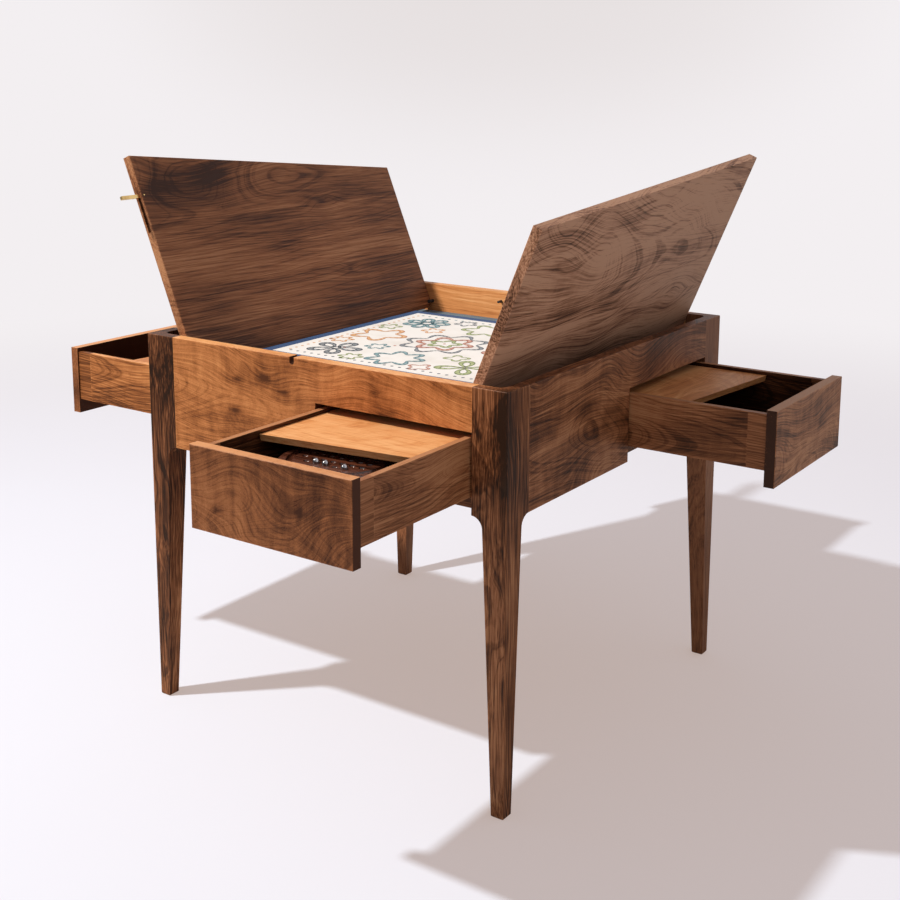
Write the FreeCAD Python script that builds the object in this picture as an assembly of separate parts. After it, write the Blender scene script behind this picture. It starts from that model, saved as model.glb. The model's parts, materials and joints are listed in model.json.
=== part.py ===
import FreeCAD, Part
import math
import os

# Square games table: four legs and four aprons round a sunken well, two skewed half lids
# that turn on pins in the front and back aprons, and four drawers set as a pinwheel.
# Millimetres, +Z up, origin on the floor at the middle of the table, front towards -Y.

# Table outline
side = 840.0
height = 760.0
rim_chamfer = 1.0
edge_tolerance = 0.000001

# Legs
post = 70.0
foot = 25.0
cove_radius = 22.0
foot_chamfer = 2.0
corner_fillet = 2.0

# Aprons and drawer openings
apron_height = 222.0
apron_thickness = 22.0
opening_drop = 78.0
opening_from_middle = 10.0

# Dowels between aprons and legs
dowel_diameter = 8.0
dowel_length = 40.0
dowel_end_gap = 1.0
rail_dowel_drop = 25.0
rail_dowel_pitch = 30.0
rail_dowel_count = 2
apron_dowel_drop = 50.0
apron_dowel_pitch = 70.0
apron_dowel_edge = 20.0
glue_fit = 0.05

# Well under the lids
well_depth = 65.0
well_corner = 16.0
lining_thickness = 2.0
well_floor_thickness = 7.0
bearer_width = 20.0
bearer_height = 18.0

# Playing board
board_side = 546.0
board_thickness = 22.4
print_side = 495.0
print_thickness = 0.6

# Lids
lid_thickness = 19.0
lid_end_gap = 1.5
lid_tail_gap = 3.0
lid_corner = 18.0
lid_chamfer = 1.0
split_gap = 2.0
split_skew = 77.0
lid_open_angle = 112.5

# Lid pivots
pivot_inset = 56.0
pivot_diameter = 8.0
pivot_grip = 20.0
pivot_reach = 13.0
bush_wall = 1.5
bush_length = 16.0
running_fit = 0.05

# Folding pulls in the lids' ends, and their notches
pull_width = 7.0
pull_thickness = 6.0
pull_reach = 45.0
pull_inset = 7.0
pull_from_split = 82.0
pull_chamfer = 0.75
pull_gap = 0.3
pull_slot_length = 75.0
pull_fold_angle = 90.0
axle_diameter = 3.0
axle_grip = 4.0
notch_width = 11.0
notch_depth = 14.0

# Pegs that hold the lids closed and open
rest_peg_diameter = 6.0
rest_peg_reach = 14.0
rest_peg_from_middle = 117.0
stop_peg_diameter = 8.0
stop_peg_reach = 16.0
stop_peg_from_pivot = 40.0
peg_grip = 14.0
peg_gap = 0.3

# Carcass under the well
carcass_floor_rise = 4.0
carcass_floor_thickness = 18.0
divider_thickness = 12.0
runner_width = 20.0
runner_lip_height = 22.0
guide_gap = 1.0
slide_gap = 0.5
screw_head_diameter = 8.0
screw_head_height = 3.0
screw_diameter = 4.0
screw_length = 36.0
screw_inner_pitch = 120.0
screw_outer_pitch = 300.0

# Drawers
face_thickness = 20.0
face_gap = 1.5
face_chamfer = 1.0
box_inset = 3.0
box_rise = 30.0
box_top_gap = 10.0
box_side = 12.0
cleat_length = 36.0
back_thickness = 12.0
back_rise = 12.0
bottom_rise = 6.0
bottom_thickness = 6.0
bottom_groove = 5.0
drawer_end_gap = 10.0
drawer_travel = 335.0
stop_rail_gap = 4.0
front_drawer_pull = 315.0
right_drawer_pull = 292.0
back_drawer_pull = 280.0
left_drawer_pull = 318.0

# Sliding covers in the drawers
cover_thickness = 12.0
cover_drop = 7.0
cover_long_side = 242.0
cover_short_side = 205.0
cover_undercut = 3.0
cover_tongue = 6.0
cover_groove = 5.0
cover_fit = 0.4

# Solitaire board in the front drawer
solitaire_diameter = 214.0
solitaire_thickness = 34.0
solitaire_foot_height = 26.0
solitaire_drop = 32.0
solitaire_from_face = 160.0
solitaire_top_round = 5.0
solitaire_under_round = 10.0
solitaire_groove_middle = 86.0
solitaire_groove_radius = 6.5
solitaire_groove_depth = 4.0
solitaire_foot_diameter = 28.0
solitaire_foot_round = 8.0
solitaire_foot_ring = 72.0
solitaire_foot_count = 3
marble_diameter = 12.0
marble_fit = 0.1
marble_pitch = 20.0
marble_sink = 4.0
hole_row_reach = (1, 2, 3, 3, 3, 2, 1)
front_marbles = ((-2, -1), (-2, 0), (-2, 2))
first_full_row = 2

# Places that follow from the sizes
half = side / 2
post_inner = half - post
well_half = half - apron_thickness
apron_bottom = height - apron_height
opening_top = height - opening_drop
lining_top = height - well_depth
well_floor_top = lining_top - lining_thickness
well_floor_bottom = well_floor_top - well_floor_thickness
carcass_floor_bottom = apron_bottom + carcass_floor_rise
carcass_floor_top = carcass_floor_bottom + carcass_floor_thickness
apron_middle = half - apron_thickness / 2
apron_dowel_room = apron_height - apron_dowel_drop - apron_dowel_edge
apron_dowel_count = 1 + int(apron_dowel_room / apron_dowel_pitch)
pivot_x = well_half - pivot_inset
pivot_z = height - lid_thickness / 2
lid_end = well_half - lid_end_gap
lid_tail = well_half - lid_tail_gap
pull_x = split_skew / 2 - split_gap / 2 - pull_from_split
pull_y = pull_inset - lid_end
face_left = opening_from_middle + face_gap
face_right = post_inner - face_gap
face_top = opening_top - face_gap
face_back = face_thickness - half
box_left = face_left + box_inset
box_right = face_right - box_inset
box_bottom = apron_bottom + box_rise
box_top = opening_top - box_top_gap
box_back = -(divider_thickness / 2 + drawer_end_gap)
cover_top = box_top - cover_drop
tongue_bottom = cover_top - cover_thickness / 2 - cover_tongue / 2
tongue_top = tongue_bottom + cover_tongue
stop_rail_back = box_back - back_thickness - drawer_travel
drawer_floor = box_bottom + bottom_rise + bottom_thickness
solitaire_top = box_top - solitaire_drop
solitaire_room = solitaire_top - drawer_floor
solitaire_scale = solitaire_room / (solitaire_thickness + solitaire_foot_height)

X_AXIS = FreeCAD.Vector(1, 0, 0)
Y_AXIS = FreeCAD.Vector(0, 1, 0)
Z_AXIS = FreeCAD.Vector(0, 0, 1)
ORIGIN = FreeCAD.Vector(0, 0, 0)


def block(x_range, y_range, z_range):
    """Box between three pairs of limits."""
    corner = FreeCAD.Vector(x_range[0], y_range[0], z_range[0])
    return Part.makeBox(
        x_range[1] - x_range[0], y_range[1] - y_range[0], z_range[1] - z_range[0], corner
    )


def rod(diameter, start, direction, length):
    """Round bar from a start point along a direction."""
    return Part.makeCylinder(diameter / 2, length, start, direction)


def turned(shape, quarters):
    """Copy of a shape turned about the table's middle by quarter turns."""
    copy = shape.copy()
    copy.rotate(ORIGIN, Z_AXIS, 90.0 * quarters)
    return copy


def ring_of_four(shape):
    """The shape and its three copies round the table."""
    return [turned(shape, quarters) for quarters in range(4)]


def pair_across(shape):
    """The shape and its copy on the opposite side of the table."""
    return [shape, turned(shape, 2)]


def cut_all(shape, tools):
    """Shape with every tool taken away."""
    for tool in tools:
        shape = shape.cut(tool)
    return shape


def outline(corners):
    """Closed flat wire through (x, y, radius) corners at z = 0, with real arcs."""
    count = len(corners)
    starts = []
    edges = []
    for index in range(count):
        here = FreeCAD.Vector(corners[index][0], corners[index][1], 0)
        radius = corners[index][2]
        before = corners[index - 1]
        after = corners[(index + 1) % count]
        back = (FreeCAD.Vector(before[0], before[1], 0) - here).normalize()
        ahead = (FreeCAD.Vector(after[0], after[1], 0) - here).normalize()
        if radius == 0:
            starts.append((here, here))
            continue
        half_angle = back.getAngle(ahead) / 2
        reach = radius / math.tan(half_angle)
        bisector = (back + ahead).normalize()
        middle = here + bisector * (radius / math.sin(half_angle) - radius)
        first = here + back * reach
        last = here + ahead * reach
        edges.append(Part.Arc(first, middle, last).toShape())
        starts.append((first, last))
    for index in range(count):
        edges.append(Part.makeLine(starts[index][1], starts[(index + 1) % count][0]))
    return Part.Wire(Part.__sortEdges__(edges))


def plate(wire, z_bottom, z_top):
    """Flat plate with the given outline between two levels."""
    face = Part.Face(wire)
    face.translate(Z_AXIS * z_bottom)
    return face.extrude(Z_AXIS * (z_top - z_bottom))


def flat_edges(shape, level):
    """Edges of a shape that lie in a level plane."""
    return [
        edge
        for edge in shape.Edges
        if abs(edge.BoundBox.ZMin - level) < edge_tolerance
        and abs(edge.BoundBox.ZMax - level) < edge_tolerance
    ]


def dowels_at(x_end, drop, pitch, count):
    """Dowels along X across one end of the front apron."""
    levels = [height - drop - pitch * index for index in range(count)]
    return [
        rod(
            dowel_diameter,
            FreeCAD.Vector(x_end - dowel_length / 2, -apron_middle, level),
            X_AXIS,
            dowel_length,
        )
        for level in levels
    ]


def front_dowels():
    """All dowels of the front apron: its full end on the left, its rail on the right."""
    full_end = dowels_at(-post_inner, apron_dowel_drop, apron_dowel_pitch, apron_dowel_count)
    rail_end = dowels_at(post_inner, rail_dowel_drop, rail_dowel_pitch, rail_dowel_count)
    return full_end + rail_end


def dowel_holes():
    """Dowel holes round the table, a little wider and deeper than the dowels."""
    holes = []
    for dowel in front_dowels():
        box = dowel.BoundBox
        start = FreeCAD.Vector(box.XMin - dowel_end_gap, -apron_middle, box.Center.z)
        length = dowel_length + 2 * dowel_end_gap
        holes.extend(ring_of_four(rod(dowel_diameter + 2 * glue_fit, start, X_AXIS, length)))
    return holes


def leg_profile(along_x):
    """One side view of the front right leg, drawn across its full post width."""
    neck = post_inner + cove_radius
    bend = cove_radius * math.sqrt(0.5)
    cove_middle = apron_bottom - cove_radius

    def point(distance, level):
        if along_x:
            return FreeCAD.Vector(distance, -half, level)
        return FreeCAD.Vector(post_inner, -distance, level)

    edges = [
        Part.makeLine(point(half, 0), point(half, height)),
        Part.makeLine(point(half, height), point(post_inner, height)),
        Part.makeLine(point(post_inner, height), point(post_inner, apron_bottom)),
        Part.Arc(
            point(post_inner, apron_bottom),
            point(post_inner + bend, cove_middle + bend),
            point(neck, cove_middle),
        ).toShape(),
        Part.makeLine(point(neck, cove_middle), point(half - foot, 0)),
        Part.makeLine(point(half - foot, 0), point(half, 0)),
    ]
    face = Part.Face(Part.Wire(edges))
    return face.extrude((Y_AXIS if along_x else X_AXIS) * post)


def well_space(margin):
    """Space of the well, with rounded corners, inside a margin."""
    reach = well_half - margin
    corner = well_corner
    return outline(
        [(-reach, -reach, corner), (reach, -reach, corner), (reach, reach, corner), (-reach, reach, corner)]
    )


def leg():
    """Front right leg: square post, coved neck, straight taper on its two inner faces."""
    body = leg_profile(True).common(leg_profile(False)).removeSplitter()
    outer_edge = [
        edge
        for edge in body.Edges
        if abs(edge.BoundBox.XMin - half) < edge_tolerance
        and abs(edge.BoundBox.YMax + half) < edge_tolerance
    ]
    body = body.makeFillet(corner_fillet, outer_edge)
    body = body.makeChamfer(foot_chamfer, flat_edges(body, 0.0))
    outside = half - corner_fillet - edge_tolerance
    rim = [
        edge
        for edge in flat_edges(body, height)
        if edge.BoundBox.XMin > outside or edge.BoundBox.YMax < -outside
    ]
    body = body.makeChamfer(rim_chamfer, rim)
    body = body.cut(plate(well_space(0.0), well_floor_bottom, height + lid_thickness))
    return cut_all(body, dowel_holes())


def lid_fittings():
    """Cutters for the front apron's pivots, notch and pegs, and the pieces that go in them."""
    inner_face = -well_half
    bush_outer = pivot_diameter + 2 * running_fit + 2 * bush_wall
    cutters = []
    bushes = []
    rest_pegs = []
    stop_pegs = []
    lean = math.radians(lid_open_angle - 90.0)
    stop_offset = lid_thickness / 2 + peg_gap + stop_peg_diameter / 2
    stop_x = pivot_x - stop_peg_from_pivot * math.sin(lean) - stop_offset * math.cos(lean)
    stop_z = pivot_z - stop_peg_from_pivot * math.cos(lean) + stop_offset * math.sin(lean)
    rest_z = height - lid_thickness - peg_gap - rest_peg_diameter / 2
    for hand in (-1, 1):
        mouth = FreeCAD.Vector(hand * pivot_x, inner_face, pivot_z)
        cutters.append(rod(bush_outer + 2 * glue_fit, mouth, -Y_AXIS, bush_length))
        bush = rod(bush_outer, mouth, -Y_AXIS, bush_length)
        bushes.append(bush.cut(rod(pivot_diameter + 2 * running_fit, mouth, -Y_AXIS, bush_length)))
        pegs = [
            (rest_pegs, hand * rest_peg_from_middle, rest_z, rest_peg_diameter, rest_peg_reach),
            (stop_pegs, hand * stop_x, stop_z, stop_peg_diameter, stop_peg_reach),
        ]
        for group, peg_x, peg_z, diameter, reach in pegs:
            root = FreeCAD.Vector(peg_x, inner_face - peg_grip, peg_z)
            group.append(rod(diameter, root, Y_AXIS, peg_grip + reach))
            cutters.append(rod(diameter + 2 * glue_fit, root, Y_AXIS, peg_grip))
    notch_round = height - notch_depth + notch_width / 2
    notch_start = FreeCAD.Vector(pull_x, -half, notch_round)
    cutters.append(rod(notch_width, notch_start, Y_AXIS, apron_thickness))
    cutters.append(
        block(
            (pull_x - notch_width / 2, pull_x + notch_width / 2),
            (-half, inner_face),
            (notch_round, height),
        )
    )
    return cutters, bushes, rest_pegs, stop_pegs


def apron():
    """Front apron with its drawer opening, open at the bottom, beside the right leg."""
    body = block((-post_inner, post_inner), (-half, -well_half), (apron_bottom, height))
    rim = [
        edge
        for edge in flat_edges(body, height)
        if abs(edge.BoundBox.YMax + half) < edge_tolerance
    ]
    body = body.makeChamfer(rim_chamfer, rim)
    opening = block((opening_from_middle, post_inner), (-half, -well_half), (apron_bottom, opening_top))
    return cut_all(body.cut(opening), dowel_holes())


def lid():
    """Left lid, closed: a trapezoid with its two outer corners rounded."""
    front = split_skew / 2 - split_gap / 2
    back = -split_skew / 2 - split_gap / 2
    wire = outline(
        [
            (-lid_tail, -lid_end, lid_corner),
            (front, -lid_end, 0),
            (back, lid_end, 0),
            (-lid_tail, lid_end, lid_corner),
        ]
    )
    body = plate(wire, height - lid_thickness, height)
    rims = flat_edges(body, height) + flat_edges(body, height - lid_thickness)
    return body.makeChamfer(lid_chamfer, rims)


def folding_pull():
    """Folding pull of the closed left lid, standing out at the front."""
    tip = -lid_end - pull_reach
    level = pivot_z - pull_thickness / 2
    bar_side = (pull_x - pull_width / 2, pull_x + pull_width / 2)
    bar = block(bar_side, (tip, pull_y), (level, level + pull_thickness))
    corners = [edge for edge in bar.Edges if abs(edge.BoundBox.YMax - tip) < edge_tolerance]
    bar = bar.makeChamfer(pull_chamfer, corners)
    root = FreeCAD.Vector(pull_x, pull_y, level)
    bar = bar.fuse(rod(pull_width, root, Z_AXIS, pull_thickness)).removeSplitter()
    return bar.cut(rod(axle_diameter + 2 * running_fit, root, Z_AXIS, pull_thickness))


def pull_slot():
    """Slot in the closed left lid's front end that takes the folded pull and a fingertip."""
    slot_half = pull_thickness / 2 + pull_gap
    room = pull_width / 2 + pull_gap
    return block(
        (pull_x - pull_slot_length, pull_x + room),
        (-lid_end, pull_y + room),
        (pivot_z - slot_half, pivot_z + slot_half),
    )


def lid_set():
    """Closed left lid with its holes and slot, and its pins: two pivots and the pull's axle."""
    pins = []
    holes = []
    for hand in (-1, 1):
        root = FreeCAD.Vector(-pivot_x, hand * (lid_end - pivot_grip), pivot_z)
        length = pivot_grip + lid_end_gap + pivot_reach
        pins.append(rod(pivot_diameter, root, Y_AXIS * hand, length))
        holes.append(rod(pivot_diameter + 2 * glue_fit, root, Y_AXIS * hand, length))
    axle_root = FreeCAD.Vector(pull_x, pull_y, height - lid_thickness)
    axle_length = (lid_thickness + pull_thickness) / 2 + axle_grip
    pins.append(rod(axle_diameter, axle_root, Z_AXIS, axle_length))
    holes.append(rod(axle_diameter + 2 * glue_fit, axle_root, Z_AXIS, axle_length))
    holes.append(pull_slot())
    return cut_all(lid(), holes), Part.makeCompound(pins)


def folded(pull):
    """Pull of the closed left lid, turned in to lie in its slot."""
    copy = pull.copy()
    copy.rotate(FreeCAD.Vector(pull_x, pull_y, pivot_z), Z_AXIS, -pull_fold_angle)
    return copy


def opened(shape):
    """Closed left lid piece turned up about its pivots to where it rests open."""
    copy = shape.copy()
    copy.rotate(FreeCAD.Vector(-pivot_x, 0, pivot_z), Y_AXIS, -lid_open_angle)
    return copy


def runner_pair():
    """Left and right runner of the front drawer, each with a guiding lip."""
    deck = box_bottom - slide_gap
    lip_top = deck + runner_lip_height
    inner_end = -divider_thickness / 2
    left_wall = divider_thickness / 2
    left_lip = box_left - guide_gap
    inner_span = (-well_half, inner_end)
    deck_levels = (carcass_floor_top, deck)
    lip_levels = (carcass_floor_top, lip_top)
    left_deck = block((left_wall, box_left + runner_width), inner_span, deck_levels)
    left = left_deck.fuse(block((left_wall, left_lip), inner_span, lip_levels))
    right_lip = box_right + guide_gap
    right_deck = block((box_right - runner_width, right_lip), inner_span, deck_levels)
    lip_span = (-post_inner, inner_end)
    right = right_deck.fuse(block((right_lip, right_lip + runner_width), lip_span, lip_levels))
    return [left.removeSplitter(), right.removeSplitter()]


def stop_rail():
    """Rail above the front opening that meets the drawer's back when it is pulled out."""
    return block(
        (face_left, face_right),
        (-well_half, stop_rail_back),
        (box_top + stop_rail_gap, well_floor_bottom),
    )


def bearer():
    """Strip that carries the well floor along the closed half of the front apron."""
    return block(
        (-post_inner, -divider_thickness / 2),
        (-well_half, bearer_width - well_half),
        (well_floor_bottom - bearer_height, well_floor_bottom),
    )


def screw_places():
    """Floor screw places under the two dividers."""
    steps = (-screw_outer_pitch, -screw_inner_pitch, screw_inner_pitch, screw_outer_pitch)
    return [(0.0, step) for step in steps] + [(step, 0.0) for step in steps]


def screw(place, fit):
    """Floor screw, or its hole when a fit is given."""
    start = FreeCAD.Vector(place[0], place[1], carcass_floor_bottom)
    head = rod(screw_head_diameter + 2 * fit, start, Z_AXIS, screw_head_height)
    return head.fuse(rod(screw_diameter + 2 * fit, start, Z_AXIS, screw_length)).removeSplitter()


def carcass_floor():
    """Bottom panel under the drawers, notched round the legs."""
    span = (-well_half, well_half)
    body = block(span, span, (carcass_floor_bottom, carcass_floor_top))
    corner = block((post_inner, half), (-half, -post_inner), (0, height))
    holes = [screw(place, glue_fit) for place in screw_places()]
    return cut_all(body, ring_of_four(corner) + holes)


def dividers():
    """Two crossing boards between the drawers, halved into each other."""
    web = (-divider_thickness / 2, divider_thickness / 2)
    span = (-well_half, well_half)
    middle = (carcass_floor_top + well_floor_bottom) / 2
    levels = (carcass_floor_top, well_floor_bottom)
    holes = [screw(place, glue_fit) for place in screw_places()]
    lengthwise = block(web, span, levels).cut(block(web, web, (middle, well_floor_bottom)))
    crosswise = block(span, web, levels).cut(block(web, web, (carcass_floor_top, middle)))
    return cut_all(lengthwise, holes), cut_all(crosswise, holes)


def drawer_face():
    """Front panel of the front drawer, closed."""
    body = block((face_left, face_right), (-half, face_back), (apron_bottom, face_top))
    rims = [
        edge
        for edge in body.Edges
        if abs(edge.BoundBox.YMin + half) < edge_tolerance
        and abs(edge.BoundBox.YMax + half) < edge_tolerance
    ]
    return body.makeChamfer(face_chamfer, rims)


def drawer_cover(long_left):
    """Sliding cover with a skewed, undercut front edge and a tongue along each side."""
    left = box_left + box_side + cover_fit
    right = box_right - box_side - cover_fit
    rear = box_back - back_thickness - cover_fit
    left_front = rear - (cover_long_side if long_left else cover_short_side)
    right_front = rear - (cover_short_side if long_left else cover_long_side)

    def layer(level, inset):
        corners = [
            FreeCAD.Vector(left, rear, level),
            FreeCAD.Vector(left, left_front + inset, level),
            FreeCAD.Vector(right, right_front + inset, level),
            FreeCAD.Vector(right, rear, level),
        ]
        return Part.makePolygon(corners + corners[:1])

    layers = [layer(cover_top - cover_thickness, cover_undercut), layer(cover_top, 0.0)]
    body = Part.makeLoft(layers, True, True)
    tongue_reach = cover_groove + cover_fit
    spans = [(left - tongue_reach, left, left_front), (right, right + tongue_reach, right_front)]
    for near, far, front in spans:
        tongue = block((near, far), (front + cover_thickness, rear), (tongue_bottom, tongue_top))
        body = body.fuse(tongue)
    return body.removeSplitter()


def drawer_box():
    """Corner cleats, sides, back and bottom of the front drawer, closed."""
    levels = (box_bottom, box_top)
    cleat_end = face_back + cleat_length
    bottom_levels = (box_bottom + bottom_rise, drawer_floor)
    inner_left = box_left + box_side
    inner_right = box_right - box_side
    bottom_panel = block(
        (inner_left - bottom_groove, inner_right + bottom_groove), (face_back, box_back), bottom_levels
    )
    groove_depth = cover_groove + 2 * cover_fit
    cover_slot = block(
        (inner_left - groove_depth, inner_right + groove_depth),
        (face_back, box_back - back_thickness),
        (tongue_bottom - cover_fit, tongue_top + cover_fit),
    )
    walls = []
    for near, far in ((box_left, inner_left), (inner_right, box_right)):
        for start, end in ((face_back, cleat_end), (cleat_end, box_back)):
            wall = block((near, far), (start, end), levels)
            walls.append(wall.cut(bottom_panel).cut(cover_slot))
    left_cleat, left_side, right_cleat, right_side = walls
    back = block(
        (inner_left, inner_right),
        (box_back - back_thickness, box_back),
        (drawer_floor, box_top + back_rise),
    )
    return {
        "face": drawer_face(),
        "corner_cleats": Part.makeCompound([left_cleat, right_cleat]),
        "left_side": left_side,
        "right_side": right_side,
        "back": back,
        "bottom": bottom_panel,
    }


def hole_places():
    """Row and column of each hole of the solitaire board, counted from its middle."""
    middle = len(hole_row_reach) // 2
    places = []
    for index, reach in enumerate(hole_row_reach):
        places.extend((index - middle, column) for column in range(-reach, reach + 1))
    return places


def solitaire_set():
    """Round solitaire board with a groove and holes, its bun feet and its marbles, drawer closed."""
    middle_x = (box_left + box_right) / 2
    middle_y = face_back + solitaire_from_face
    top = solitaire_top
    thickness = solitaire_thickness * solitaire_scale
    bottom = top - thickness
    centre = FreeCAD.Vector(middle_x, middle_y, bottom)
    board = rod(solitaire_diameter, centre, Z_AXIS, thickness)
    board = board.makeFillet(solitaire_top_round * solitaire_scale, flat_edges(board, top))
    board = board.makeFillet(solitaire_under_round * solitaire_scale, flat_edges(board, bottom))
    groove_level = top + solitaire_groove_radius - solitaire_groove_depth
    groove_centre = FreeCAD.Vector(middle_x, middle_y, groove_level)
    board = board.cut(Part.makeTorus(solitaire_groove_middle, solitaire_groove_radius, groove_centre))
    marble_level = top + marble_diameter / 2 - marble_sink
    marbles = []
    for row, column in hole_places():
        marble_x = middle_x + column * marble_pitch
        marble_y = middle_y + row * marble_pitch
        place = FreeCAD.Vector(marble_x, marble_y, marble_level)
        board = board.cut(Part.makeSphere(marble_diameter / 2 + marble_fit, place))
        if row >= first_full_row or (row, column) in front_marbles:
            marbles.append(Part.makeSphere(marble_diameter / 2, place))
    feet = []
    for index in range(solitaire_foot_count):
        angle = 2 * math.pi * index / solitaire_foot_count
        foot_x = middle_x + solitaire_foot_ring * math.sin(angle)
        foot_y = middle_y + solitaire_foot_ring * math.cos(angle)
        foot_place = FreeCAD.Vector(foot_x, foot_y, drawer_floor)
        bun = rod(solitaire_foot_diameter, foot_place, Z_AXIS, bottom - drawer_floor)
        rims = flat_edges(bun, drawer_floor) + flat_edges(bun, bottom)
        feet.append(bun.makeFillet(solitaire_foot_round * solitaire_scale, rims))
    return board, Part.makeCompound(feet), Part.makeCompound(marbles)


def placed(shape, pull, quarters):
    """Front drawer piece pulled out and turned to its side of the table."""
    copy = shape.copy()
    copy.translate(Y_AXIS * -pull)
    return turned(copy, quarters)


nodes = {}

# Legs and aprons
leg_names = ("leg_front_right", "leg_back_right", "leg_back_left", "leg_front_left")
for name, shape in zip(leg_names, ring_of_four(leg())):
    nodes[name] = shape
cutters, bushes, rest_pegs, stop_pegs = lid_fittings()
plain_apron = apron()
fitted_apron = cut_all(plain_apron, cutters)
nodes["apron_front"] = fitted_apron
nodes["apron_right"] = turned(plain_apron, 1)
nodes["apron_back"] = turned(fitted_apron, 2)
nodes["apron_left"] = turned(plain_apron, 3)
dowels = [copy for dowel in front_dowels() for copy in ring_of_four(dowel)]
nodes["apron_dowels"] = Part.makeCompound(dowels)

# Lid fittings in the front and back aprons
groups = (("lid_pivot_bushes", bushes), ("lid_rest_pegs", rest_pegs), ("lid_stop_pegs", stop_pegs))
for name, pieces in groups:
    nodes[name] = Part.makeCompound([copy for piece in pieces for copy in pair_across(piece)])

# Well and playing board
nodes["well_floor"] = plate(well_space(0.0), well_floor_bottom, well_floor_top)
nodes["well_lining"] = plate(well_space(0.0), well_floor_top, lining_top)
nodes["well_floor_bearers"] = Part.makeCompound(ring_of_four(bearer()))
board_half = board_side / 2
print_half = print_side / 2
board_top = lining_top + board_thickness
board_span = (-board_half, board_half)
print_span = (-print_half, print_half)
print_top = board_top + print_thickness
nodes["playing_board"] = block(board_span, board_span, (lining_top, board_top))
nodes["board_print"] = block(print_span, print_span, (board_top, print_top))

# Carcass under the well
nodes["carcass_floor"] = carcass_floor()
nodes["drawer_divider_lengthwise"], nodes["drawer_divider_crosswise"] = dividers()
runners = [copy for runner in runner_pair() for copy in ring_of_four(runner)]
nodes["drawer_runners"] = Part.makeCompound(runners)
nodes["drawer_stop_rails"] = Part.makeCompound(ring_of_four(stop_rail()))
nodes["floor_screws"] = Part.makeCompound([screw(place, 0.0) for place in screw_places()])

# Lids, standing open
for part_name, shape in zip(("lid", "lid_pins"), lid_set()):
    nodes["left_" + part_name] = opened(shape)
    nodes["right_" + part_name] = turned(opened(shape), 2)
nodes["left_lid_pull"] = opened(folding_pull())
nodes["right_lid_pull"] = turned(opened(folded(folding_pull())), 2)

# Drawers, pulled out as a pinwheel
drawers = (
    ("front", 0, front_drawer_pull, True),
    ("right", 1, right_drawer_pull, False),
    ("back", 2, back_drawer_pull, True),
    ("left", 3, left_drawer_pull, False),
)
box_parts = drawer_box()
for drawer_name, quarters, pull, long_left in drawers:
    for part_name, shape in box_parts.items():
        nodes[drawer_name + "_drawer_" + part_name] = placed(shape, pull, quarters)
    cover = drawer_cover(long_left)
    nodes[drawer_name + "_drawer_cover"] = placed(cover, pull, quarters)
solitaire_names = ("solitaire_board", "solitaire_board_feet", "solitaire_marbles")
for name, shape in zip(solitaire_names, solitaire_set()):
    nodes[name] = placed(shape, front_drawer_pull, 0)

os.makedirs("parts", exist_ok=True)
for name, shape in nodes.items():
    shape.exportStep("parts/" + name + ".step")
    print(name, len(shape.Solids), shape.isValid(), round(shape.Volume))
print(len(nodes), "nodes")
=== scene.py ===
"""Looks of a walnut games table: solid wood grain, lined well, printed board and studio light."""

import json
import logging
import math
from dataclasses import dataclass, field
from enum import Enum
from typing import Any, Dict, List, Optional, Sequence, Tuple, Union

import bpy
import numpy as np
from mathutils import Matrix, Vector


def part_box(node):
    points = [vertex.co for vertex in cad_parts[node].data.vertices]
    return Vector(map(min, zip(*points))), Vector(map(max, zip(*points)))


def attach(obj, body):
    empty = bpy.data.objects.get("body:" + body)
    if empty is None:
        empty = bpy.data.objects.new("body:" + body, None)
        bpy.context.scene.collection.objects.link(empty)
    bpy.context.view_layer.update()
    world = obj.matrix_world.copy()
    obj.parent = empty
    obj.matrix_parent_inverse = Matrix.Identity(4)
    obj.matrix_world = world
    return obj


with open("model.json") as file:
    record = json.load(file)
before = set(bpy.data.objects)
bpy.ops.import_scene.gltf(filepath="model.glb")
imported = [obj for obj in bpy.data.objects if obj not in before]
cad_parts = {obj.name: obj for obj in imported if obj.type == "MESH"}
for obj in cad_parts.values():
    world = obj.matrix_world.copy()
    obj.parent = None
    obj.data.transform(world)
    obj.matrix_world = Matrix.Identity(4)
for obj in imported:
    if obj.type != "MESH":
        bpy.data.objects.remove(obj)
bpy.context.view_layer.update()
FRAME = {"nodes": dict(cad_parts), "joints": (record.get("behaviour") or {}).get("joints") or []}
LOG = logging.getLogger("games_table")

Colour = Tuple[float, float, float, float]
Key = Union[str, int]
Span = Tuple[float, float]


def screen(red: float, green: float, blue: float) -> Colour:
    """Linear colour of a screen colour.

    Args:
        red: Red from 0 to 255.
        green: Green from 0 to 255.
        blue: Blue from 0 to 255.

    Returns:
        Linear red, green and blue with full alpha.
    """
    steps = np.array([red, green, blue], float) / 255
    linear = np.where(steps <= 0.04045, steps / 12.92, ((steps + 0.055) / 1.055) ** 2.4)
    return (float(linear[0]), float(linear[1]), float(linear[2]), 1.0)


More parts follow.
